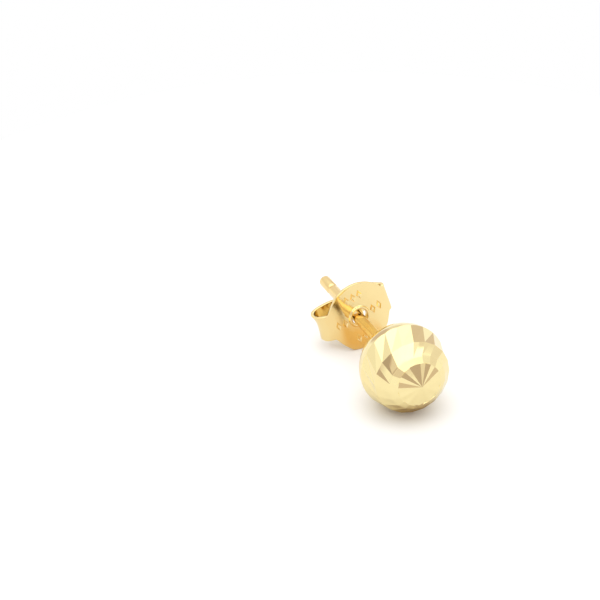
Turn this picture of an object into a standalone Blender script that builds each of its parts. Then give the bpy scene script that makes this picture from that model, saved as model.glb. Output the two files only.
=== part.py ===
import math

import bmesh
import bpy
from mathutils import Matrix, Vector

# Lengths are in metres and angles in degrees. The stud is built about its post: the ball's centre is
# the origin, the front pole faces -Y and the post runs towards +Y. It is then laid down as it rests.

# Ball
BALL_DIAMETER = 0.0060
CUTS_ROUND = 20
GIRDLE_ANGLE = 94.5
BELT_ANGLE = 60.5
BELT_LEAN = 3.5
BELT_LAG = 4.0
LEAN_TURN = -95.0
FAN_ANGLE = 31.0
FAN_CUTS = 24
FAN_TURN = 2.8
FLUTE_DEPTH = 0.00006
DOME_RINGS = 5
DOME_SIDES = 40

# Post, soldered to the back of the ball
POST_DIAMETER = 0.00080
POST_LENGTH = 0.01070
POST_SIDES = 24
TIP_ROUNDING = 0.00012
GROOVE_FROM_TIP = 0.00150
GROOVE_WIDTH = 0.00040
GROOVE_DEPTH = 0.00006
SOLDER_FILLET = 0.00012
SOLDER_OVERLAP = 0.00060

# Butterfly back, bent from one sheet
EAR_GAP = 0.00475
SHEET = 0.00022
DISC_DIAMETER = 0.00494
TAB_WIDTH = 0.00200
LEFT_REACH = 0.00278
RIGHT_REACH = 0.00258
BACK_TURN = 16.5
BACK_SKEW = 5.0
LEFT_WING_ANGLE = 28.0
RIGHT_WING_ANGLE = 18.0
WING_RADIUS = 0.00160
WING_RUN = 0.00070
LEFT_BEND_RADIUS = 0.00068
RIGHT_BEND_RADIUS = 0.00024
ROLL_RADIUS = 0.00068
ROLL_STANDOFF = 0.00020
ROLL_END = 292.0
HOLE_CLEARANCE = 0.00017
GRIP_CLEARANCE = 0.00004
COLLAR_WIDTH = 0.00018
COLLAR_HEIGHT = 0.00014
BEND_STEP = 14.0
RIM_STEP = 9.7
LEFT_SHOULDER = (0.00114, 0.00205)
RIGHT_SHOULDER = (0.00216, 0.00228)

# Raised lozenges on the disc
LOZENGE_LENGTH = 0.00080
LOZENGE_WIDTH = 0.00042
LOZENGE_PITCH = 0.00050
LOZENGE_HEIGHT = 0.00006
LOZENGES_FROM_CENTRE = 0.00155

GOLD = (0.90, 0.66, 0.30, 1.0)
GOLD_ROUGHNESS = 0.12
BALL_SHARP_ANGLE = 12.0
BACK_SHARP_ANGLE = 30.0

BALL_RADIUS = BALL_DIAMETER / 2
POST_RADIUS = POST_DIAMETER / 2
TIP_PLACE = BALL_RADIUS + POST_LENGTH
HOLE_RADIUS = POST_RADIUS + HOLE_CLEARANCE
SHEET_PLACE = BALL_RADIUS + EAR_GAP + COLLAR_HEIGHT + SHEET / 2
ROLL_PLACE = SHEET + ROLL_STANDOFF + ROLL_RADIUS

# Corners of the cut pattern that repeats round the ball. Height is the share of the way from the fan's
# edge to the belt's, and turn is clockwise from the top, in steps of the pattern.
CORNER_COLUMNS = ("height", "turn")
BELT_CORNER = dict(zip(CORNER_COLUMNS, (1.0, 2 / 18)))
TIP_CORNER = dict(zip(CORNER_COLUMNS, (0.34, -8 / 18)))
FAN_CORNER = dict(zip(CORNER_COLUMNS, (0.02, -7 / 18)))
GIRDLE_TURN = 1.0
STRIP_SHARE = 0.5

# The two sides of the butterfly back
SIDE_COLUMNS = ("direction", "reach", "wing_angle", "bend_radius", "shoulder")
LEFT_SIDE = dict(zip(SIDE_COLUMNS, (-1, LEFT_REACH, LEFT_WING_ANGLE, LEFT_BEND_RADIUS, LEFT_SHOULDER)))
RIGHT_SIDE = dict(zip(SIDE_COLUMNS, (1, RIGHT_REACH, RIGHT_WING_ANGLE, RIGHT_BEND_RADIUS, RIGHT_SHOULDER)))

# Rows of lozenges: place across and up the disc as shares of LOZENGES_FROM_CENTRE, and how many
LOZENGE_ROWS = (
    {"across": 0.0, "up": 1.0, "count": 3},
    {"across": 0.0, "up": -1.0, "count": 3},
    {"across": -0.86, "up": 0.0, "count": 2},
    {"across": 0.86, "up": 0.0, "count": 2},
)


def gold_material():
    material = bpy.data.materials.new("gold")
    material.use_nodes = True
    shader = material.node_tree.nodes["Principled BSDF"]
    shader.inputs["Base Color"].default_value = GOLD
    shader.inputs["Metallic"].default_value = 1.0
    shader.inputs["Roughness"].default_value = GOLD_ROUGHNESS
    return material


def object_from(bm, name):
    bmesh.ops.recalc_face_normals(bm, faces=bm.faces)
    mesh = bpy.data.meshes.new(name)
    bm.to_mesh(mesh)
    bm.free()
    obj = bpy.data.objects.new(name, mesh)
    bpy.context.scene.collection.objects.link(obj)
    return obj


def helper(obj):
    obj.hide_render = True
    obj.display_type = "WIRE"
    return obj


def boolean(obj, other, operation):
    modifier = obj.modifiers.new(other.name, "BOOLEAN")
    modifier.operation = operation
    modifier.object = other


def turned(name, profile, sides):
    """A solid turned about the post's axis from (radius, place along Y) points."""
    bm = bmesh.new()
    points = [bm.verts.new((radius, place, 0)) for radius, place in profile]
    edges = [bm.edges.new(pair) for pair in zip(points, points[1:])]
    bmesh.ops.spin(
        bm,
        geom=points + edges,
        cent=(0, 0, 0),
        axis=(0, 1, 0),
        angle=math.tau,
        steps=sides,
        use_merge=True,
    )
    bmesh.ops.remove_doubles(bm, verts=bm.verts, dist=1e-8)
    return object_from(bm, name)


def arc_profile(centre, radius, start, end, steps):
    """Points of an arc in (radius, place) terms. Angles count from the +radius direction."""
    turns = [math.radians(start + (end - start) * i / steps) for i in range(steps + 1)]
    return [
        (centre[0] + radius * math.cos(turn), centre[1] + radius * math.sin(turn)) for turn in turns
    ]


# Ball


def on_ball(polar, turn, radius=BALL_RADIUS):
    """The point at an angle from the front pole, turned clockwise from the top as seen from the front."""
    polar, turn = math.radians(polar), math.radians(turn)
    across = radius * math.sin(polar)
    return Vector((across * math.sin(turn), -radius * math.cos(polar), across * math.cos(turn)))


def ring(bm, points):
    """(turn, vertex) pairs in order of turn."""
    return sorted(((turn % 360, bm.verts.new(place)) for turn, place in points), key=lambda pair: pair[0])


def zip_rings(bm, first, second):
    """Fills the band between two rings whose corners don't pair up."""
    ahead = min(range(len(second)), key=lambda i: abs((second[i][0] - first[0][0] + 180) % 360 - 180))
    second = second[ahead:] + second[:ahead]
    base = first[0][0]

    def unrolled(corners):
        start = (corners[0][0] - base + 180) % 360 - 180
        turns = [start + (turn - corners[0][0]) % 360 for turn, _ in corners]
        return turns + [turns[0] + 360], [vert for _, vert in corners] + [corners[0][1]]

    turns_a, verts_a = unrolled(first)
    turns_b, verts_b = unrolled(second)
    a = b = 0
    while a < len(first) or b < len(second):
        if b == len(second) or (a < len(first) and turns_a[a + 1] <= turns_b[b + 1]):
            bm.faces.new((verts_a[a], verts_a[a + 1], verts_b[b]))
            a += 1
        else:
            bm.faces.new((verts_a[a], verts_b[b + 1], verts_b[b]))
            b += 1


def cut_corner(corner, step):
    """On the side that LEAN_TURN names, the belt's corners sit a little further back and lag behind."""
    turn = 360 / CUTS_ROUND * (step + corner["turn"])
    share = corner["height"] * max(0.0, math.cos(math.radians(turn - LEAN_TURN))) ** 2
    polar = FAN_ANGLE + (BELT_ANGLE - FAN_ANGLE) * corner["height"] + BELT_LEAN * share
    turn -= BELT_LAG * share
    return turn, on_ball(polar, turn)


def make_ball():
    bm = bmesh.new()
    steps = range(CUTS_ROUND)
    pitch = 360 / CUTS_ROUND

    girdle_turns = [pitch * (k + GIRDLE_TURN) for k in steps]
    girdle = [bm.verts.new(on_ball(GIRDLE_ANGLE, turn)) for turn in girdle_turns]
    belt = [bm.verts.new(cut_corner(BELT_CORNER, k)[1]) for k in steps]
    tips = [bm.verts.new(cut_corner(TIP_CORNER, k)[1]) for k in steps]
    inner = []
    for k in steps:
        turn, place = cut_corner(FAN_CORNER, k)
        inner.append((turn % 360, bm.verts.new(place)))
    ends = [bm.verts.new(belt[k].co.lerp(belt[(k + 1) % CUTS_ROUND].co, STRIP_SHARE)) for k in steps]

    for k in steps:
        after = (k + 1) % CUTS_ROUND
        # outer belt: two triangles a step, slanting clockwise
        bm.faces.new((belt[k], girdle[k], girdle[after]))
        bm.faces.new((belt[k], girdle[after], belt[after], ends[k]))
        # inner belt: a triangle that points at the fan, and a long slanting strip
        bm.faces.new((belt[k], ends[k], tips[k]))
        bm.faces.new((ends[k], belt[after], tips[after]))
        bm.faces.new((ends[k], tips[after], tips[k]))
        bm.faces.new((tips[k], tips[after], inner[after][1]))
        bm.faces.new((tips[k], inner[after][1], inner[k][1]))

    # fan: shallow flutes that meet at the front pole
    pole = bm.verts.new(on_ball(0, 0))
    fan_turns = [FAN_TURN + 360 * k / FAN_CUTS for k in range(FAN_CUTS)]
    fan = ring(
        bm,
        [
            (turn, on_ball(FAN_ANGLE, turn, BALL_RADIUS - FLUTE_DEPTH * (k % 2)))
            for k, turn in enumerate(fan_turns)
        ],
    )
    for (_, one), (_, two) in zip(fan, fan[1:] + fan[:1]):
        bm.faces.new((pole, one, two))
    zip_rings(bm, fan, sorted(inner, key=lambda pair: pair[0]))

    # plain dome behind the girdle
    band = sorted(((turn % 360, vert) for turn, vert in zip(girdle_turns, girdle)), key=lambda pair: pair[0])
    dome_turns = [360 * k / DOME_SIDES for k in range(DOME_SIDES)]
    for row in range(1, DOME_RINGS):
        polar = GIRDLE_ANGLE + (180 - GIRDLE_ANGLE) * row / DOME_RINGS
        after = ring(bm, [(turn, on_ball(polar, turn)) for turn in dome_turns])
        zip_rings(bm, band, after)
        band = after
    back_pole = bm.verts.new(on_ball(180, 0))
    for (_, one), (_, two) in zip(band, band[1:] + band[:1]):
        bm.faces.new((back_pole, one, two))
    return object_from(bm, "ball_and_post")


def make_post():
    groove = TIP_PLACE - GROOVE_FROM_TIP
    root = math.sqrt(BALL_RADIUS**2 - (POST_RADIUS + SOLDER_FILLET) ** 2)
    fillet = arc_profile((POST_RADIUS + SOLDER_FILLET, root + SOLDER_FILLET), SOLDER_FILLET, 270, 180, 3)
    rounding = arc_profile((POST_RADIUS - TIP_ROUNDING, TIP_PLACE - TIP_ROUNDING), TIP_ROUNDING, 0, 90, 3)
    profile = [
        (0, BALL_RADIUS - SOLDER_OVERLAP),
        (POST_RADIUS + SOLDER_FILLET, BALL_RADIUS - SOLDER_OVERLAP),
        *fillet,
        (POST_RADIUS, groove - GROOVE_WIDTH / 2),
        (POST_RADIUS - GROOVE_DEPTH, groove - GROOVE_WIDTH / 4),
        (POST_RADIUS - GROOVE_DEPTH, groove + GROOVE_WIDTH / 4),
        (POST_RADIUS, groove + GROOVE_WIDTH / 2),
        *rounding,
        (0, TIP_PLACE),
    ]
    return helper(turned("post", profile, POST_SIDES))


# Butterfly back


def strip_runs(side):
    """(length, turn) of each run of the sheet's middle line from the centre out to a tab's end."""
    wing = math.radians(side["wing_angle"])
    bend_radius = side["bend_radius"]
    bend = Vector((side["reach"] - SHEET / 2 - bend_radius, 0))
    wing_end = bend.x + bend_radius * math.sin(wing)
    flat = wing_end - WING_RUN * math.cos(wing) - WING_RADIUS * math.sin(wing)
    rise = WING_RUN * math.sin(wing) + WING_RADIUS * (1 - math.cos(wing))
    bend.y = rise + bend_radius * math.cos(wing)
    roll = Vector((POST_RADIUS + GRIP_CLEARANCE + SHEET / 2 + ROLL_RADIUS, ROLL_PLACE))
    between = roll - bend
    lean = math.asin((bend_radius - ROLL_RADIUS) / between.length)
    heading = math.atan2(between.y, between.x) % math.tau + lean
    return [
        (flat, 0.0),
        (WING_RADIUS * wing, wing),
        (WING_RUN, 0.0),
        (bend_radius * (heading - wing), heading - wing),
        (between.length * math.cos(lean), 0.0),
        (ROLL_RADIUS * (math.radians(ROLL_END) - heading), math.radians(ROLL_END) - heading),
    ]


def strip_at(runs, along):
    """Place and heading on the middle line, in the plane of the post's axis: x outwards, y backwards."""
    place, heading = Vector((0, 0)), 0.0
    for length, turn in runs:
        part = min(along, length)
        turned_by = turn * part / length
        if turn:
            radius = length / turn
            place += radius * Vector(
                (
                    math.sin(heading + turned_by) - math.sin(heading),
                    math.cos(heading) - math.cos(heading + turned_by),
                )
            )
        else:
            place += part * Vector((math.cos(heading), math.sin(heading)))
        heading += turned_by
        along -= part
        if along <= 0:
            break
    return place, heading


def strip_stations(runs, shoulder):
    """Distances along the middle line where the sheet gets a section."""
    disc_radius = DISC_DIAMETER / 2
    stations = [0.0]
    for length, turn in runs:
        steps = max(1, math.ceil(math.degrees(turn) / BEND_STEP))
        stations += [stations[-1] + length / steps * (i + 1) for i in range(steps)]
    rim_steps = int(math.degrees(math.asin(shoulder[0] / disc_radius)) / RIM_STEP)
    rim = [disc_radius * math.sin(math.radians(RIM_STEP * (i + 1))) for i in range(rim_steps)]
    for place in (*rim, *shoulder):
        if min(abs(place - other) for other in stations) > SHEET / 4:
            stations.append(place)
    return sorted(stations)


def half_width(along, shoulder):
    """Half the sheet's width: the round disc, a straight shoulder and then the tab."""
    disc_radius = DISC_DIAMETER / 2
    start, end = shoulder
    if along > start:
        widest = math.sqrt(disc_radius**2 - start**2)
        return widest + (TAB_WIDTH / 2 - widest) * min(1.0, (along - start) / (end - start))
    return math.sqrt(disc_radius**2 - along**2)


def sheet_point(runs, direction, along, up, out):
    """A point of the bent sheet. out is the distance from its middle towards the ear."""
    place, heading = strip_at(runs, along)
    x = place.x + out * math.sin(heading)
    y = place.y - out * math.cos(heading)
    return Vector((direction * x, y, up))


def make_sheet():
    bm = bmesh.new()
    sections = []
    for side in (LEFT_SIDE, RIGHT_SIDE):
        runs, direction = strip_runs(side), side["direction"]
        stations = strip_stations(runs, side["shoulder"])
        stations = stations[:0:-1] if direction < 0 else stations
        for along in stations:
            half = half_width(along, side["shoulder"])
            corners = ((-half, SHEET / 2), (half, SHEET / 2), (half, -SHEET / 2), (-half, -SHEET / 2))
            sections.append([bm.verts.new(sheet_point(runs, direction, along, *corner)) for corner in corners])
    for one, two in zip(sections, sections[1:]):
        for i in range(4):
            bm.faces.new((one[i - 1], one[i], two[i], two[i - 1]))
    bm.faces.new(sections[0])
    bm.faces.new(sections[-1])
    return object_from(bm, "butterfly_back")


def make_collar():
    outer = HOLE_RADIUS + COLLAR_WIDTH
    front = -SHEET / 2 - COLLAR_HEIGHT
    rounding = COLLAR_WIDTH / 3
    profile = [
        (0, front),
        *arc_profile((outer - rounding, front + rounding), rounding, 270, 360, 3),
        (outer, 0),
        (0, 0),
    ]
    return helper(turned("collar", profile, POST_SIDES))


def make_hole_cutter():
    front = -SHEET / 2 - COLLAR_HEIGHT
    profile = [
        (0, front - SHEET),
        (HOLE_RADIUS, front - SHEET),
        (HOLE_RADIUS, SHEET / 2 + ROLL_STANDOFF / 2),
        (0, SHEET / 2 + ROLL_STANDOFF / 2),
    ]
    return helper(turned("hole_cutter", profile, POST_SIDES))


def make_lozenges():
    """Small raised lozenges in short rows, each seated in the sheet's ear side."""
    bm = bmesh.new()
    runs = {side["direction"]: strip_runs(side) for side in (LEFT_SIDE, RIGHT_SIDE)}
    seat = SHEET / 4
    top = SHEET / 2 + LOZENGE_HEIGHT
    for row in LOZENGE_ROWS:
        for i in range(row["count"]):
            across = row["across"] * LOZENGES_FROM_CENTRE + (i - (row["count"] - 1) / 2) * LOZENGE_PITCH
            up = row["up"] * LOZENGES_FROM_CENTRE
            levels = []
            for out, share in ((seat, 1.0), (top, 0.7)):
                level = []
                for dx, dz in ((1, 0), (0, 1), (-1, 0), (0, -1)):
                    x = across + dx * share * LOZENGE_WIDTH / 2
                    z = up + dz * share * LOZENGE_LENGTH / 2
                    direction = -1 if x < 0 else 1
                    level.append(bm.verts.new(sheet_point(runs[direction], direction, abs(x), z, out)))
                levels.append(level)
            base, face = levels
            bm.faces.new(base)
            bm.faces.new(face)
            for j in range(4):
                bm.faces.new((base[j - 1], base[j], face[j], face[j - 1]))
    return helper(object_from(bm, "lozenges"))


# Resting pose


def points_of(obj):
    graph = bpy.context.evaluated_depsgraph_get()
    evaluated = obj.evaluated_get(graph)
    mesh = evaluated.to_mesh()
    points = [obj.matrix_world @ vertex.co for vertex in mesh.vertices]
    evaluated.to_mesh_clear()
    return points


def tilted(points, tilt):
    return [Matrix.Rotation(-tilt, 3, "X") @ point for point in points]


def resting_tilt(ball_points, back_points):
    """The tilt at which the ball and the butterfly back touch the same level surface."""
    low, high = math.radians(-45), math.radians(45)
    for _ in range(60):
        middle = (low + high) / 2
        ball_low = min(p.z for p in tilted(ball_points, middle))
        back_low = min(p.z for p in tilted(back_points, middle))
        low, high = (middle, high) if ball_low < back_low else (low, middle)
    return low


def build():
    for obj in list(bpy.data.objects):
        bpy.data.objects.remove(obj)

    stud = make_ball()
    post = make_post()
    boolean(stud, post, "UNION")

    back = make_sheet()
    collar, lozenges, hole = make_collar(), make_lozenges(), make_hole_cutter()
    for piece in (collar, lozenges):
        boolean(back, piece, "UNION")
    boolean(back, hole, "DIFFERENCE")
    # the loose back hangs a little askew about the place where its scrolls grip the post
    back.matrix_world = (
        Matrix.Translation((0, SHEET_PLACE + ROLL_PLACE, 0))
        @ Matrix.Rotation(-math.radians(BACK_TURN), 4, "Y")
        @ Matrix.Rotation(math.radians(BACK_SKEW), 4, "Z")
        @ Matrix.Translation((0, -ROLL_PLACE, 0))
    )
    for piece in (collar, lozenges, hole):
        piece.parent = back

    gold = gold_material()
    for obj, sharp_angle in ((stud, BALL_SHARP_ANGLE), (back, BACK_SHARP_ANGLE)):
        obj.data.materials.append(gold)
        obj.data.shade_smooth()
        obj.data.set_sharp_from_angle(angle=math.radians(sharp_angle))

    bpy.context.view_layer.update()
    ball_points, back_points = points_of(stud), points_of(back)
    tilt = resting_tilt([p for p in ball_points if p.y < BALL_RADIUS], back_points)
    laid = tilted(ball_points + back_points, tilt)

    pose = bpy.data.objects.new("resting_pose", None)
    bpy.context.scene.collection.objects.link(pose)
    pose.rotation_euler = (-tilt, 0, 0)
    pose.location = (
        -(min(p.x for p in laid) + max(p.x for p in laid)) / 2,
        -(min(p.y for p in laid) + max(p.y for p in laid)) / 2,
        -min(p.z for p in laid),
    )
    for obj in (stud, post, back):
        obj.parent = pose
    bpy.context.view_layer.update()


build()
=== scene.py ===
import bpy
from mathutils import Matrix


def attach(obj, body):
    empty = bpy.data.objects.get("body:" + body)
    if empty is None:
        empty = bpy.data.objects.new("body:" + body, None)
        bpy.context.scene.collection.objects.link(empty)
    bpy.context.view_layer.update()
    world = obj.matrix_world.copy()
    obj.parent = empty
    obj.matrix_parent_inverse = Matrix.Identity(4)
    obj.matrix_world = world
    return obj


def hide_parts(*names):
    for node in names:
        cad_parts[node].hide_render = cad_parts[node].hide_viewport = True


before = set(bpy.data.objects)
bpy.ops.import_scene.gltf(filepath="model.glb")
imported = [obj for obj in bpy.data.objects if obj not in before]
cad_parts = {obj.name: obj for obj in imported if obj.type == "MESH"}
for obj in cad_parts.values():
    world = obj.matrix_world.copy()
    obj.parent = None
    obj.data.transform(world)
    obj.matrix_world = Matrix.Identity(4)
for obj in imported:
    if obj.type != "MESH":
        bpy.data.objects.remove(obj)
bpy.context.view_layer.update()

import math

import bmesh
import bpy
from mathutils import Matrix, Vector, noise

print("frame loaded")

# The pieces are modelled in millimetres about the post: the ball's centre is the origin, the ball's
# front faces -Y and the post runs along +Y. layDown() scales them and puts them where the stud rests.
restingPlace = {
    "tilt": 4.0248,  # the post's tip lies lower than its root, in degrees
    "ballCentre": (0.0, -5.346632, 2.999897),  # mm
}
mergeDistance = 0.0004  # mm, within which points count as one
millimetre = 0.001


# Small helpers


def deselectAll():
    if bpy.context.object and bpy.context.object.mode != "OBJECT":
        bpy.ops.object.mode_set(mode="OBJECT")
    bpy.ops.object.select_all(action="DESELECT")


def activate(obj):
    deselectAll()
    obj.select_set(True)
    bpy.context.view_layer.objects.active = obj


def startEditing(obj, mode="VERT"):
    activate(obj)
    bpy.ops.object.mode_set(mode="EDIT")
    bpy.ops.mesh.select_mode(type=mode)
    bpy.ops.mesh.select_all(action="DESELECT")


def pickParts(obj, kind, test):  # selects the vertices, edges or faces that pass the test
    bpy.ops.mesh.select_mode(type=kind)
    bpy.ops.mesh.select_all(action="DESELECT")
    mesh = bmesh.from_edit_mesh(obj.data)
    parts = {"VERT": mesh.verts, "EDGE": mesh.edges, "FACE": mesh.faces}[kind]
    for part in parts:
        if test(part):
            part.select = True
    mesh.select_flush_mode()
    bmesh.update_edit_mesh(obj.data)


def movePicked(obj, place):  # moves each selected vertex to place(where it is)
    mesh = bmesh.from_edit_mesh(obj.data)
    for vert in mesh.verts:
        if vert.select:
            vert.co = place(vert.co.copy())
    bmesh.update_edit_mesh(obj.data)


def addCircle(vertices, radius, place, **settings):  # round the post's axis, at a place along it
    bpy.ops.mesh.primitive_circle_add(
        vertices=vertices, radius=radius, location=(0, place, 0), rotation=(math.pi / 2, 0, 0), **settings
    )


def startTurning(name, profile):  # a ring at the first (radius, place) point of a turned piece
    deselectAll()
    addCircle(postShape["sides"], *profile[0])
    bpy.context.object.name = name
    bpy.ops.object.transform_apply(location=True, rotation=True)
    return bpy.context.object


def extrudeAlong(profile):  # takes the selected ring from point to point
    for (radius, place), (nextRadius, nextPlace) in zip(profile, profile[1:]):
        bpy.ops.mesh.extrude_edges_move(TRANSFORM_OT_translate={"value": (0, nextPlace - place, 0)})
        share = nextRadius / radius
        bpy.ops.transform.resize(value=(share, 1, share), center_override=(0, nextPlace, 0))


def applyModifier(obj, kind, **settings):
    activate(obj)
    modifier = obj.modifiers.new(kind.lower(), kind)
    for name, value in settings.items():
        setattr(modifier, name, value)
    bpy.ops.object.modifier_apply(modifier=modifier.name)


def layDown(obj, body, material, place=Matrix.Identity(4)):
    activate(obj)
    bpy.ops.object.transform_apply(location=True, rotation=True, scale=True)
    lying = Matrix.Translation(restingPlace["ballCentre"]) @ Matrix.Rotation(
        -math.radians(restingPlace["tilt"]), 4, "X"
    )
    obj.matrix_world = Matrix.Scale(millimetre, 4) @ lying @ place
    bpy.ops.object.transform_apply(location=True, rotation=True, scale=True)
    obj.data.materials.clear()
    obj.data.materials.append(material)
    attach(obj, body)
    print(obj.name, "laid down,", len(obj.data.polygons), "faces")


# Gold


def newGroup(name, inputs, outputs):
    group = bpy.data.node_groups.new(name, "ShaderNodeTree")
    for label, kind, value in inputs:
        socket = group.interface.new_socket(label, in_out="INPUT", socket_type=kind)
        socket.default_value = value
    for label, kind in outputs:
        group.interface.new_socket(label, in_out="OUTPUT", socket_type=kind)
    start, end = group.nodes.new("NodeGroupInput"), group.nodes.new("NodeGroupOutput")
    return group, start.outputs, end.inputs


def addNode(tree, kind, settings=None, inputs=None):
    node = tree.nodes.new(kind)
    for name, value in (settings or {}).items():
        setattr(node, name, value)
    for name, value in (inputs or {}).items():
        if isinstance(value, bpy.types.NodeSocket):
            tree.links.new(value, node.inputs[name])
        else:
            node.inputs[name].default_value = value
    return node


def multiply(tree, one, two):
    return addNode(tree, "ShaderNodeMath", {"operation": "MULTIPLY"}, {0: one, 1: two}).outputs[0]


def mixColours(tree, share, one, two):
    mix = addNode(tree, "ShaderNodeMix", {"data_type": "RGBA"}, {"Factor": share, 6: one, 7: two})
    return mix.outputs[2]


def goldToneGroup():  # soft drift between two alloys' colours
    group, given, out = newGroup(
        "goldTone",
        [
            ("Position", "NodeSocketVector", (0, 0, 0)),
            ("Light gold", "NodeSocketColor", (0.92, 0.80, 0.42, 1)),
            ("Deep gold", "NodeSocketColor", (0.90, 0.70, 0.32, 1)),
            ("Scale", "NodeSocketFloat", 600.0),
            ("Amount", "NodeSocketFloat", 0.3),
        ],
        [("Color", "NodeSocketColor")],
    )
    cloud = addNode(
        group,
        "ShaderNodeTexNoise",
        inputs={"Vector": given["Position"], "Scale": given["Scale"], "Detail": 3.0, "Roughness": 0.55},
    )
    share = multiply(group, cloud.outputs["Fac"], given["Amount"])
    group.links.new(mixColours(group, share, given["Light gold"], given["Deep gold"]), out["Color"])
    return group


def handlingGroup():  # faint scratches and smears: a roughness value and a height
    group, given, out = newGroup(
        "handlingMarks",
        [
            ("Position", "NodeSocketVector", (0, 0, 0)),
            ("Scale", "NodeSocketFloat", 2000.0),
            ("Smooth", "NodeSocketFloat", 0.05),
            ("Dull", "NodeSocketFloat", 0.15),
        ],
        [("Roughness", "NodeSocketFloat"), ("Height", "NodeSocketFloat")],
    )
    smear = addNode(
        group,
        "ShaderNodeTexNoise",
        inputs={"Vector": given["Position"], "Scale": given["Scale"], "Detail": 4.0, "Roughness": 0.6},
    )
    worn = addNode(
        group,
        "ShaderNodeMapRange",
        inputs={
            "Value": smear.outputs["Fac"],
            "From Min": 0.35,
            "From Max": 0.7,
            "To Min": given["Smooth"],
            "To Max": given["Dull"],
        },
    )
    group.links.new(worn.outputs["Result"], out["Roughness"])
    group.links.new(smear.outputs["Fac"], out["Height"])
    return group


goldTone, handlingMarks = goldToneGroup(), handlingGroup()


def goldMaterial(name, look):
    material = bpy.data.materials.new(name)
    material.use_nodes = True
    tree = material.node_tree
    shader = tree.nodes["Principled BSDF"]
    shader.inputs["Metallic"].default_value = 1.0
    place = addNode(tree, "ShaderNodeTexCoord").outputs["Object"]
    stretched = addNode(tree, "ShaderNodeMapping", inputs={"Vector": place, "Scale": look["stretch"]})
    tone = addNode(
        tree,
        "ShaderNodeGroup",
        {"node_tree": goldTone},
        {
            "Position": place,
            "Light gold": look["lightGold"],
            "Deep gold": look["deepGold"],
            "Scale": look["toneScale"],
            "Amount": look["toneAmount"],
        },
    )
    marks = addNode(
        tree,
        "ShaderNodeGroup",
        {"node_tree": handlingMarks},
        {
            "Position": stretched.outputs[0],
            "Scale": look["markScale"],
            "Smooth": look["smooth"],
            "Dull": look["dull"],
        },
    )
    bump = addNode(
        tree,
        "ShaderNodeBump",
        inputs={"Strength": look["bump"], "Distance": look["depth"], "Height": marks.outputs["Height"]},
    )
    tree.links.new(tone.outputs["Color"], shader.inputs["Base Color"])
    tree.links.new(marks.outputs["Roughness"], shader.inputs["Roughness"])
    tree.links.new(bump.outputs["Normal"], shader.inputs["Normal"])
    return material


# Ball: a polished dome behind, two belts of slanted cuts and a fan of flutes in front

ballShape = {
    "radius": 3.0,
    "sides": 160,  # a multiple of cutsRound
    "rings": 96,
    "domeStart": 99.0,
    "cutsRound": 20,
    "girdle": {"angle": 94.5, "turn": 12.0},  # angle from the front pole, turn clockwise, degrees
    "belt": {"angle": 60.5, "turn": 2.0},
    "tip": {"angle": 41.0, "turn": -8.0},
    "fanEdge": {"angle": 31.6, "turn": -7.0},
    "beltLean": 3.5,  # on one side the belt's corners sit a little further back and lag behind
    "beltLag": 4.0,
    "leanTurn": -95.0,
    "fanAngle": 31.0,
    "fanCuts": 24,
    "fanTurn": 2.8,
    "fluteDepth": 0.06,
    "stripCells": 6,
    "crispAbove": 4.0,  # degrees between two cuts
}
ballGold = {
    "lightGold": (0.93, 0.80, 0.42, 1),
    "deepGold": (0.90, 0.72, 0.35, 1),
    "toneScale": 700.0,
    "toneAmount": 0.35,
    "stretch": (1, 1, 1),
    "markScale": 2500.0,
    "smooth": 0.04,
    "dull": 0.10,
    "bump": 0.25,
    "depth": 0.000003,
}


def onBall(angle, turn, radius=ballShape["radius"]):
    angle, turn = math.radians(angle), math.radians(turn)
    across = radius * math.sin(angle)
    return Vector((across * math.sin(turn), -radius * math.cos(angle), across * math.cos(turn)))


def turnOf(point):  # clockwise from the top, seen from the front
    return math.degrees(math.atan2(point.x, point.z))


def corner(ring, step):  # a corner of the cut pattern, which repeats round the ball
    s = ballShape
    turn = ring["turn"] + step * 360 / s["cutsRound"]
    height = (ring["angle"] - s["fanAngle"]) / (s["belt"]["angle"] - s["fanAngle"])
    share = height if height <= 1 else 0
    share *= max(0.0, math.cos(math.radians(turn - s["leanTurn"]))) ** 2
    return onBall(ring["angle"] + s["beltLean"] * share, turn - s["beltLag"] * share)


def arcPoint(one, two, third, share):  # on the arc where the plane through three points leaves the ball
    normal = (two - one).cross(third - one).normalized()
    centre = normal * normal.dot(one)
    outwards = one.lerp(two, share) - centre
    return centre + outwards.normalized() * (one - centre).length


def onRim(edge):
    return edge.is_boundary


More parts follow.
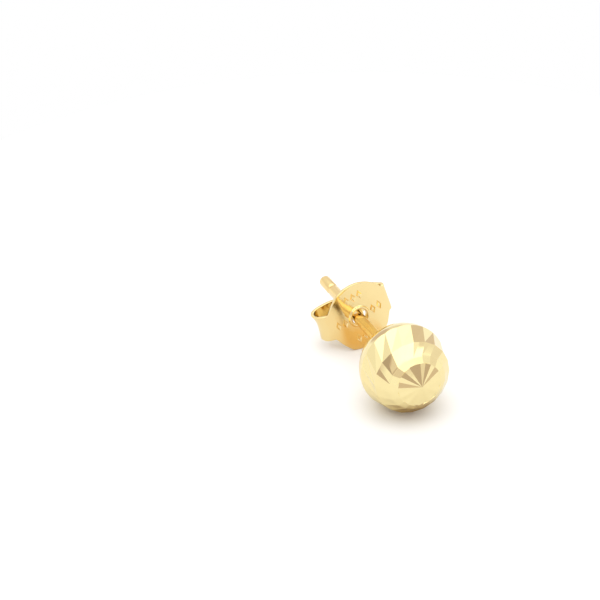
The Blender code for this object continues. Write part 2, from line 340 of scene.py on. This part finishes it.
def makeBall():
    s = ballShape
    steps = range(s["cutsRound"])
    deselectAll()
    bpy.ops.mesh.primitive_uv_sphere_add(
        segments=s["sides"], ring_count=s["rings"], radius=s["radius"], rotation=(math.pi / 2, 0, 0)
    )
    ball = bpy.context.object
    ball.name = "cut_ball"
    bpy.ops.object.transform_apply(rotation=True)
    ball.rotation_euler = (0, math.radians(s["girdle"]["turn"]), 0)
    bpy.ops.object.transform_apply(rotation=True)

    # the front of the sphere makes way for the cuts, and the dome's rim follows the outer belt's arcs
    startEditing(ball)
    domePlace = onBall(s["domeStart"], 0).y
    pickParts(ball, "VERT", lambda vert: vert.co.y < domePlace)
    bpy.ops.mesh.delete(type="VERT")
    pickParts(ball, "EDGE", onRim)
    bpy.ops.mesh.extrude_edges_move()
    sidesPerCut = s["sides"] // s["cutsRound"]

    def rimStep(co):  # how many sides clockwise from the girdle's first corner
        return round((turnOf(co) - s["girdle"]["turn"]) * s["sides"] / 360) % s["sides"]

    def rimPlace(co):
        step, side = divmod(rimStep(co), sidesPerCut)
        start, end = corner(s["girdle"], step), corner(s["girdle"], step + 1)
        return arcPoint(start, end, corner(s["belt"], step), side / sidesPerCut)

    movePicked(ball, rimPlace)

    # rings of corners for the two belts, joined up with flat faces
    for ring in ("belt", "tip", "fanEdge"):
        middle = onBall(s[ring]["angle"], 0)
        addCircle(s["cutsRound"], middle.z, middle.y)
        movePicked(ball, lambda co: corner(s[ring], round(turnOf(co) * s["cutsRound"] / 360)))
        if ring == "belt":
            bpy.ops.mesh.subdivide(number_cuts=1)
    mesh = bmesh.from_edit_mesh(ball.data)

    def nearest(place):
        return min(mesh.verts, key=lambda vert: (vert.co - place).length)

    corners = {ring: [nearest(corner(s[ring], k)) for k in steps] for ring in ("belt", "tip", "fanEdge")}
    ends = [nearest((corner(s["belt"], k) + corner(s["belt"], k + 1)) / 2) for k in steps]
    rim = [vert for vert in mesh.verts if vert.is_boundary and vert.link_faces]
    rim.sort(key=lambda vert: rimStep(vert.co))
    for k in steps:
        after = (k + 1) % s["cutsRound"]
        belt, tip, fanEdge = ((corners[ring][k], corners[ring][after]) for ring in ("belt", "tip", "fanEdge"))
        arc = [rim[(k * sidesPerCut + i) % s["sides"]] for i in range(sidesPerCut + 1)]
        for face in (
            (belt[0], *arc),
            (belt[0], arc[-1], belt[1], ends[k]),
            (belt[0], ends[k], tip[0]),
            (ends[k], belt[1], tip[1], tip[0]),
            (tip[0], tip[1], fanEdge[1], fanEdge[0]),
        ):
            mesh.faces.new(face)
    bmesh.update_edit_mesh(ball.data)
    print("belts cut")

    # fan of flutes
    fanPlace = onBall(s["fanAngle"], 0)
    bpy.ops.mesh.select_all(action="DESELECT")
    addCircle(s["fanCuts"], fanPlace.z, fanPlace.y, fill_type="TRIFAN")

    def fluted(co):
        if abs(co.x) + abs(co.z) < mergeDistance:
            return onBall(0, 0)
        pitch = 360 / s["fanCuts"]
        step = round(turnOf(co) / pitch)
        return onBall(s["fanAngle"], s["fanTurn"] + pitch * step, s["radius"] - s["fluteDepth"] * (step % 2))

    movePicked(ball, fluted)
    pickParts(ball, "EDGE", onRim)
    bpy.ops.mesh.bridge_edge_loops()
    bpy.ops.mesh.select_all(action="SELECT")
    bpy.ops.mesh.normals_make_consistent(inside=False)

    # crisp edges between the cuts, and none across the middle of a strip
    bpy.ops.mesh.select_mode(type="EDGE")
    bpy.ops.mesh.select_all(action="DESELECT")
    bpy.ops.mesh.edges_select_sharp(sharpness=math.radians(s["crispAbove"]))
    bpy.ops.mesh.mark_sharp()

    def isStrip(face):
        return len(face.verts) == 4 and sum(vert in tips for vert in face.verts) == 2

    mesh = bmesh.from_edit_mesh(ball.data)
    tips = [nearest(corner(s["tip"], k)) for k in steps]
    pickParts(ball, "EDGE", lambda edge: all(vert in tips for vert in edge.verts))
    bpy.ops.mesh.mark_sharp(clear=True)
    pickParts(ball, "FACE", isStrip)
    bpy.ops.mesh.subdivide(number_cuts=s["stripCells"] - 1, ngon=True)
    bpy.ops.object.mode_set(mode="OBJECT")
    bpy.ops.object.shade_smooth()
    return ball


# Post: drawn wire with a groove near its rounded tip, soldered to the ball

postShape = {
    "radius": 0.40,
    "length": 10.70,
    "sides": 64,
    "buried": 0.6,
    "fillet": 0.12,
    "grooveFromTip": 1.50,
    "grooveWidth": 0.40,
    "grooveDepth": 0.06,
    "tipRounding": 0.12,
    "roundingSteps": 6,
    "grooveSteps": 8,
    "smoothBelow": 35.0,  # degrees
}
postGold = {
    "lightGold": (0.93, 0.73, 0.35, 1),
    "deepGold": (0.88, 0.62, 0.25, 1),
    "toneScale": 900.0,
    "toneAmount": 0.5,
    "stretch": (1, 0.08, 1),
    "markScale": 4000.0,
    "smooth": 0.04,
    "dull": 0.13,
    "bump": 0.35,
    "depth": 0.000003,
}


def arcPoints(centre, radius, start, end, steps):
    turns = [math.radians(start + (end - start) * i / steps) for i in range(steps + 1)]
    return [(centre[0] + radius * math.cos(turn), centre[1] + radius * math.sin(turn)) for turn in turns]


def postProfile():  # (radius, place along the post)
    s = postShape
    tip = ballShape["radius"] + s["length"]
    groove = tip - s["grooveFromTip"]
    root = math.sqrt(ballShape["radius"] ** 2 - (s["radius"] + s["fillet"]) ** 2)
    foot = (s["radius"] + s["fillet"], root + s["fillet"])
    fillet = arcPoints(foot, s["fillet"], 270, 180, s["roundingSteps"])
    end = (s["radius"] - s["tipRounding"], tip - s["tipRounding"])
    rounding = arcPoints(end, s["tipRounding"], 0, 90, s["roundingSteps"])
    dip = []
    for i in range(s["grooveSteps"] + 1):
        share = i / s["grooveSteps"]
        depth = s["grooveDepth"] * (1 - math.cos(math.tau * share)) / 2
        dip.append((s["radius"] - depth, groove + s["grooveWidth"] * (share - 0.5)))
    return [(s["radius"] + s["fillet"], ballShape["radius"] - s["buried"]), *fillet, *dip, *rounding]


def makePost():
    profile = postProfile()
    post = startTurning("ear_post", profile)
    startEditing(post)
    bpy.ops.mesh.select_all(action="SELECT")
    bpy.ops.mesh.edge_face_add()
    pickParts(post, "EDGE", lambda edge: True)
    extrudeAlong(profile)
    bpy.ops.mesh.edge_face_add()
    bpy.ops.mesh.select_all(action="SELECT")
    bpy.ops.mesh.normals_make_consistent(inside=False)
    bpy.ops.object.mode_set(mode="OBJECT")
    bpy.ops.object.shade_smooth_by_angle(angle=math.radians(postShape["smoothBelow"]))
    return post


# Butterfly back: one bent sheet, a collar round its hole and rows of small lozenges

backShape = {
    "fromCentre": 8.0,  # from the ball's centre to the middle of the sheet
    "turn": 16.5,
    "skew": 5.0,  # the loose back hangs a little askew on the post
    "sheet": 0.22,
    "disc": 2.47,
    "tab": 1.00,
    "reach": {"left": 2.78, "right": 2.58},
    "wingAngle": {"left": 28.0, "right": 18.0},
    "wingRadius": 1.6,
    "wingRun": 0.7,
    "bendRadius": {"left": 0.68, "right": 0.24},
    "rollRadius": 0.68,
    "rollStandoff": 0.20,
    "rollEnd": 292.0,
    "grip": 0.04,
    "hole": 0.57,
    "collarWidth": 0.18,
    "collarHeight": 0.14,
    "collarRounding": 0.081,
    "collarFoot": 0.06,  # the collar's foot lies inside the sheet and reaches past the hole in it
    "collarInset": 0.02,
    "holeMargin": 0.04,
    "shoulder": {"left": (1.14, 2.05), "right": (2.16, 2.28)},  # straight cuts from the disc's rim to a tab
    "waist": {"depth": 0.21, "start": 1.3, "reach": 1.4, "lowerShare": 0.6},  # of the left loop
    "cellLength": 0.09,
    "cellsAcross": 28,
    "ragged": {"depth": 0.02, "perLength": 4.0, "sideShift": 3.0},  # the cut rims wander a little
    "rimRounding": 0.035,
    "rimAngle": 60.0,
    "smoothBelow": 32.0,
}
lozengeShape = {
    "length": 0.80,
    "width": 0.42,
    "pitch": 0.50,
    "height": 0.07,
    "rim": 0.07,
    "topShare": 0.8,
    "dip": 0.056,
    "fromCentre": 1.55,
}
lozengeRows = (
    {"across": 0.0, "up": 1.0, "count": 3},
    {"across": 0.0, "up": -1.0, "count": 3},
    {"across": -0.86, "up": 0.0, "count": 2},
    {"across": 0.86, "up": 0.0, "count": 2},
)
backGold = {
    "lightGold": (0.94, 0.78, 0.40, 1),
    "deepGold": (0.90, 0.64, 0.27, 1),
    "toneScale": 500.0,
    "toneAmount": 0.6,
    "stretch": (1, 1, 1),
    "markScale": 2200.0,
    "smooth": 0.05,
    "dull": 0.13,
    "bump": 0.6,
    "depth": 0.000012,
}


def rollPlace():  # how far the scrolls' middles lie behind the sheet's
    return backShape["sheet"] + backShape["rollStandoff"] + backShape["rollRadius"]


def stripRuns(side):  # (length, turn) of each run of the sheet, from the hole to a tab's end
    s = backShape
    bendRadius = s["bendRadius"][side]
    wing = math.radians(s["wingAngle"][side])
    bend = Vector((s["reach"][side] - s["sheet"] / 2 - bendRadius, 0))
    wingEnd = bend.x + bendRadius * math.sin(wing)
    flat = wingEnd - s["wingRun"] * math.cos(wing) - s["wingRadius"] * math.sin(wing)
    rise = s["wingRun"] * math.sin(wing) + s["wingRadius"] * (1 - math.cos(wing))
    bend.y = rise + bendRadius * math.cos(wing)
    rollAcross = postShape["radius"] + s["grip"] + s["sheet"] / 2 + s["rollRadius"]
    roll = Vector((rollAcross, rollPlace()))
    between = roll - bend
    lean = math.asin((bendRadius - s["rollRadius"]) / between.length)
    heading = math.atan2(between.y, between.x) % math.tau + lean
    rollTurn = math.radians(s["rollEnd"]) - heading
    return [
        (flat, 0.0),
        (s["wingRadius"] * wing, wing),
        (s["wingRun"], 0.0),
        (bendRadius * (heading - wing), heading - wing),
        (between.length * math.cos(lean), 0.0),
        (s["rollRadius"] * rollTurn, rollTurn),
    ]


def alongStrip(runs, along):  # place and heading on the sheet's middle line: x outwards, y backwards
    place, heading = Vector((0, 0)), 0.0
    for length, turn in runs:
        part = min(along, length)
        after = heading + turn * part / length
        if turn:
            arc = Vector((math.sin(after) - math.sin(heading), math.cos(heading) - math.cos(after)))
            place += length / turn * arc
        else:
            place += part * Vector((math.cos(heading), math.sin(heading)))
        heading, along = after, along - part
        if along <= 0:
            break
    return place, heading


def halfWidth(along, side):
    s = backShape
    start, end = s["shoulder"][side]
    if along > start:
        widest = math.sqrt(s["disc"] ** 2 - start**2)
        return widest + (s["tab"] - widest) * min(1.0, (along - start) / (end - start))
    return math.sqrt(s["disc"] ** 2 - along**2)


def bendSheet(obj):  # bends a flat blank in x and z, whose height towards the ear is -y
    runs = {-1: stripRuns("left"), 1: stripRuns("right")}
    waist = backShape["waist"]
    for vert in obj.data.vertices:
        side = -1 if vert.co.x < 0 else 1
        place, heading = alongStrip(runs[side], abs(vert.co.x))
        out = -vert.co.y
        vert.co.x = side * (place.x + out * math.sin(heading))
        vert.co.y = place.y - out * math.cos(heading)
        outer = max(0.0, -vert.co.x - waist["start"]) / waist["reach"]
        towardsRim = max(vert.co.z, -waist["lowerShare"] * vert.co.z)
        vert.co.x += waist["depth"] * outer * (1 - towardsRim**2)


def makeBlank():
    s, ragged = backShape, backShape["ragged"]
    ends = {side: sum(length for length, _ in stripRuns(name)) for side, name in ((-1, "left"), (1, "right"))}
    cells = round((ends[-1] + ends[1]) / s["cellLength"])
    deselectAll()
    bpy.ops.mesh.primitive_grid_add(
        x_subdivisions=cells, y_subdivisions=s["cellsAcross"], size=2, rotation=(math.pi / 2, 0, 0)
    )
    blank = bpy.context.object
    blank.name = "butterfly_sheet"
    bpy.ops.object.transform_apply(rotation=True)
    for vert in blank.data.vertices:
        along = -ends[-1] + (ends[-1] + ends[1]) * (vert.co.x + 1) / 2
        width = halfWidth(abs(along), "left" if along < 0 else "right")
        wander = Vector((along * ragged["perLength"], ragged["sideShift"] * (vert.co.z > 0), 0.5))
        width += ragged["depth"] * noise.noise(wander)
        vert.co = Vector((along, 0, vert.co.z * width))
    applyModifier(blank, "SOLIDIFY", thickness=s["sheet"], offset=0.0)
    startEditing(blank, "EDGE")
    bpy.ops.mesh.edges_select_sharp(sharpness=math.radians(s["rimAngle"]))
    bpy.ops.mesh.bevel(offset=s["rimRounding"], segments=3, clamp_overlap=True)
    bpy.ops.object.mode_set(mode="OBJECT")
    return blank


def makeCollar():
    s = backShape
    outer = s["hole"] + s["collarWidth"]
    front = -s["sheet"] / 2 - s["collarHeight"]
    inside = s["sheet"] / 2 - s["collarInset"]
    rounding = s["collarRounding"]
    profile = [
        (s["hole"], inside),
        *arcPoints((s["hole"] + rounding, front + rounding), rounding, 180, 270, 5),
        *arcPoints((outer - rounding, front + rounding), rounding, 270, 360, 5),
        (outer + s["collarFoot"], -inside),
        (outer + s["collarFoot"], inside),
    ]
    collar = startTurning("collar", profile)
    startEditing(collar, "EDGE")
    bpy.ops.mesh.select_all(action="SELECT")
    extrudeAlong(profile + profile[:1])
    bpy.ops.mesh.select_all(action="SELECT")
    bpy.ops.mesh.remove_doubles(threshold=mergeDistance)
    bpy.ops.mesh.normals_make_consistent(inside=False)
    bpy.ops.object.mode_set(mode="OBJECT")
    return collar


def makeHoleCutter():
    s = backShape
    deselectAll()
    bpy.ops.mesh.primitive_cylinder_add(
        vertices=postShape["sides"],
        radius=s["hole"] + s["holeMargin"],
        depth=s["sheet"] * 2,
        rotation=(math.pi / 2, 0, 0),
    )
    bpy.ops.object.transform_apply(rotation=True)
    return bpy.context.object


def makeLozenges():
    s, sheet = lozengeShape, backShape["sheet"]
    seat = sheet / 4
    lozenges = []
    for row in lozengeRows:
        up = row["up"] * s["fromCentre"]
        for i in range(row["count"]):
            across = row["across"] * s["fromCentre"] + (i - (row["count"] - 1) / 2) * s["pitch"]
            deselectAll()
            bpy.ops.mesh.primitive_cylinder_add(
                vertices=4,
                radius=0.5,
                depth=1,
                location=(across, -sheet / 2 - s["height"] / 2 + seat / 2, up),
                rotation=(math.pi / 2, 0, 0),
            )
            lozenge = bpy.context.object
            lozenge.scale = (s["width"], s["length"], s["height"] + seat)
            bpy.ops.object.transform_apply(location=True, rotation=True, scale=True)
            startEditing(lozenge, "FACE")
            front = min(vert.co.y for vert in lozenge.data.vertices)
            limit = front + mergeDistance
            pickParts(lozenge, "FACE", lambda face: all(vert.co.y < limit for vert in face.verts))
            bpy.ops.transform.resize(
                value=(s["topShare"], 1, s["topShare"]), center_override=(across, front, up)
            )
            bpy.ops.mesh.inset(thickness=s["rim"])
            bpy.ops.transform.translate(value=(0, s["dip"], 0))
            bpy.ops.object.mode_set(mode="OBJECT")
            lozenges.append(lozenge)
    activate(lozenges[0])
    for lozenge in lozenges:
        lozenge.select_set(True)
    bpy.ops.object.join()
    return lozenges[0]


def useAndDrop(obj, other, operation):  # a Boolean with another object, which is then deleted
    applyModifier(obj, "BOOLEAN", operation=operation, solver="EXACT", object=other)
    bpy.data.objects.remove(other)


def makeBack():
    back = makeBlank()
    useAndDrop(back, makeHoleCutter(), "DIFFERENCE")
    useAndDrop(back, makeCollar(), "UNION")
    useAndDrop(back, makeLozenges(), "UNION")
    bendSheet(back)
    startEditing(back)
    bpy.ops.mesh.select_all(action="SELECT")
    bpy.ops.mesh.remove_doubles(threshold=mergeDistance)
    bpy.ops.mesh.normals_make_consistent(inside=False)
    bpy.ops.object.mode_set(mode="OBJECT")
    bpy.ops.object.shade_smooth_by_angle(angle=math.radians(backShape["smoothBelow"]))
    return back


cutBall = makeBall()
layDown(cutBall, "stud", goldMaterial("cutGold", ballGold))
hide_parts("ball_and_post")
earPost = makePost()
layDown(earPost, "stud", goldMaterial("wireGold", postGold))
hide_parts("ball_and_post")
butterflySheet = makeBack()
onPost = (
    Matrix.Translation((0, backShape["fromCentre"] + rollPlace(), 0))
    @ Matrix.Rotation(-math.radians(backShape["turn"]), 4, "Y")
    @ Matrix.Rotation(math.radians(backShape["skew"]), 4, "Z")
    @ Matrix.Translation((0, -rollPlace(), 0))
)
layDown(butterflySheet, "back", goldMaterial("sheetGold", backGold), onPost)
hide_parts("butterfly_back")

# Studio: a pale table under a bright dome, with grey and white cards round it

studio = {
    "tableRadius": 0.04,
    "table": 0.80,
    "tableSeen": 0.93,
    "background": 1.0,
    "dome": (  # height as a share of the way up, and level
        (0.0, 1.07),
        (0.04, 1.07),
        (0.12, 0.88),
        (0.25, 0.88),
        (0.55, 1.0),
        (0.63, 1.05),
        (0.73, 1.6),
        (1.0, 1.9),
    ),
    "brightest": 2.0,
    "warmth": (1.13, 0.95, 0.94, 1),
    "warmBelow": (0.6, 1.0),  # full warmth below the first level, and none above the second
    "unevenness": 0.12,
    "unevenScale": 3.0,
}
# Shade and golden light on the table, which only reflections see: a middle and reaches in mm, and a tone
tableShades = {
    "betweenBallAndBack": {"middle": (0.6, 0.2), "core": 0.8, "edge": 4.2, "tone": (0.78, 0.56, 0.28, 1)},
    "underTheBall": {"middle": (0.2, -5.9), "core": 1.2, "edge": 3.0, "tone": (0.50, 0.40, 0.30, 1)},
}
# Where each card stands as seen from the stud, in degrees: azimuth counts from the front towards +X
cards = (
    {"elevation": 4, "azimuth": 14, "core": 14, "edge": 34, "level": 0.50},
    {"elevation": 24, "azimuth": -72, "core": 10, "edge": 16, "level": 0.80},
    {"elevation": 34, "azimuth": -57, "core": 8, "edge": 13, "level": 0.46},
    {"elevation": 13, "azimuth": -65, "core": 6, "edge": 11, "level": 0.52},
    {"elevation": 14, "azimuth": -40, "core": 8, "edge": 14, "level": 0.76},
    {"elevation": 36, "azimuth": -22, "core": 8, "edge": 14, "level": 1.45},
    {"elevation": 18, "azimuth": 134, "core": 12, "edge": 16, "level": 0.69},
    {"elevation": 7, "azimuth": -177, "core": 8, "edge": 14, "level": 0.64},
    {"elevation": 52, "azimuth": 76, "core": 5, "edge": 10, "level": 0.86},
)


def towards(azimuth, elevation):  # the direction of a place that is given in degrees
    azimuth, elevation = math.radians(azimuth), math.radians(elevation)
    level = math.cos(elevation)
    return Vector((math.sin(azimuth) * level, -math.cos(azimuth) * level, math.sin(elevation)))


def makeFloor():
    deselectAll()
    bpy.ops.mesh.primitive_circle_add(vertices=96, radius=studio["tableRadius"], fill_type="NGON")
    floor = bpy.context.object
    floor.name = "floor"
    material = bpy.data.materials.new("paleFloor")
    material.use_nodes = True
    tree = material.node_tree
    shader = tree.nodes["Principled BSDF"]
    seen = addNode(tree, "ShaderNodeLightPath").outputs["Is Camera Ray"]
    place = addNode(tree, "ShaderNodeTexCoord").outputs["Object"]
    plain, plainSeen = [(level, level, level, 1) for level in (studio["table"], studio["tableSeen"])]
    # painted shade and painted golden light from tableShades, mixed into the colour that every ray except
    # camera rays sees
    for shade in tableShades.values():
        middle = (*(millimetre * value for value in shade["middle"]), 0)
        away = addNode(tree, "ShaderNodeVectorMath", {"operation": "DISTANCE"}, {0: place, 1: middle})
        inside = addNode(
            tree,
            "ShaderNodeMapRange",
            {"interpolation_type": "SMOOTHSTEP"},
            {
                "Value": away.outputs["Value"],
                "From Min": millimetre * shade["edge"],
                "From Max": millimetre * shade["core"],
            },
        )
        plain = mixColours(tree, inside.outputs[0], plain, shade["tone"])
    tree.links.new(mixColours(tree, seen, plain, plainSeen), shader.inputs["Base Color"])
    shader.inputs["Roughness"].default_value = 0.9
    shader.inputs["Specular IOR Level"].default_value = 0.0
    floor.data.materials.append(material)


def makeDome():
    world = bpy.data.worlds.new("studioDome")
    bpy.context.scene.world = world
    world.use_nodes = True
    tree = world.node_tree
    tree.nodes.clear()
    direction = addNode(tree, "ShaderNodeTexCoord").outputs["Generated"]
    parts = addNode(tree, "ShaderNodeSeparateXYZ", inputs={0: direction})
    ramp = addNode(tree, "ShaderNodeValToRGB", inputs={0: parts.outputs["Z"]})
    stops = ramp.color_ramp.elements
    for place, level in studio["dome"][1:-1]:
        stops.new(place)
    for stop, (place, level) in zip(stops, studio["dome"]):
        stop.position = place
        share = level / studio["brightest"]
        stop.color = (share, share, share, 1)
    level = multiply(tree, ramp.outputs[0], studio["brightest"])
    for card in cards:
        middle = towards(card["azimuth"], card["elevation"])
        dot = addNode(tree, "ShaderNodeVectorMath", {"operation": "DOT_PRODUCT"}, {0: direction, 1: middle})
        inside = addNode(
            tree,
            "ShaderNodeMapRange",
            {"interpolation_type": "SMOOTHSTEP"},
            {
                "Value": dot.outputs["Value"],
                "From Min": math.cos(math.radians(card["edge"])),
                "From Max": math.cos(math.radians(card["core"])),
            },
        )
        levels = {"Factor": inside.outputs[0], 2: level, 3: card["level"]}
        level = addNode(tree, "ShaderNodeMix", {"data_type": "FLOAT"}, levels).outputs[0]
    cloud = addNode(
        tree,
        "ShaderNodeTexNoise",
        inputs={"Vector": direction, "Scale": studio["unevenScale"], "Detail": 2.0},
    )
    uneven = addNode(
        tree,
        "ShaderNodeMapRange",
        inputs={
            "Value": cloud.outputs["Fac"],
            "From Min": 0.3,
            "From Max": 0.7,
            "To Min": 1 - studio["unevenness"] / 2,
            "To Max": 1 + studio["unevenness"] / 2,
        },
    )
    level = multiply(tree, level, uneven.outputs[0])
    warm, neutral = studio["warmBelow"]
    cool = addNode(tree, "ShaderNodeMapRange", inputs={"Value": level, "From Min": warm, "From Max": neutral})
    tint = mixColours(tree, cool.outputs[0], studio["warmth"], (1, 1, 1, 1))
    colour = addNode(tree, "ShaderNodeVectorMath", {"operation": "SCALE"}, {0: tint, "Scale": level})
    seen = addNode(tree, "ShaderNodeLightPath").outputs["Is Camera Ray"]
    plain = studio["background"]
    shown = mixColours(tree, seen, colour.outputs[0], (plain, plain, plain, 1))
    back = addNode(tree, "ShaderNodeBackground", inputs={"Color": shown, "Strength": 1.0})
    end = addNode(tree, "ShaderNodeOutputWorld")
    tree.links.new(back.outputs[0], end.inputs["Surface"])


# Camera: where it stands as seen from the ball, and where the ball's centre lies in the picture
shot = {
    "azimuth": -22.5,
    "elevation": 31.6,
    "distance": 400.0,  # mm
    "scale": 15.10,  # pixels in a mm at the ball
    "pictureSide": 600,
    "ballAt": (404.3, 367.6),  # pixels from the left and from the top
    "sensor": 36,
}


def makeCamera():
    towardsCamera = towards(shot["azimuth"], shot["elevation"])
    right = towards(shot["azimuth"] + 90, 0)
    upwards = towardsCamera.cross(right)
    middle = shot["pictureSide"] / 2
    across = (shot["ballAt"][0] - middle) / shot["scale"]
    down = (shot["ballAt"][1] - middle) / shot["scale"]
    aim = Vector(restingPlace["ballCentre"]) - right * across + upwards * down
    data = bpy.data.cameras.new("camera")
    data.sensor_width = shot["sensor"]
    data.lens = data.sensor_width * shot["distance"] / (shot["pictureSide"] / shot["scale"])
    data.clip_start, data.clip_end = 0.01, 10
    camera = bpy.data.objects.new("camera", data)
    bpy.context.scene.collection.objects.link(camera)
    camera.location = (aim + towardsCamera * shot["distance"]) * millimetre
    camera.rotation_mode = "QUATERNION"
    camera.rotation_quaternion = (-towardsCamera).to_track_quat("-Z", "Y")
    bpy.context.scene.camera = camera


makeFloor()
makeDome()
makeCamera()
bpy.context.scene.view_settings.view_transform = "Standard"
print("studio ready")
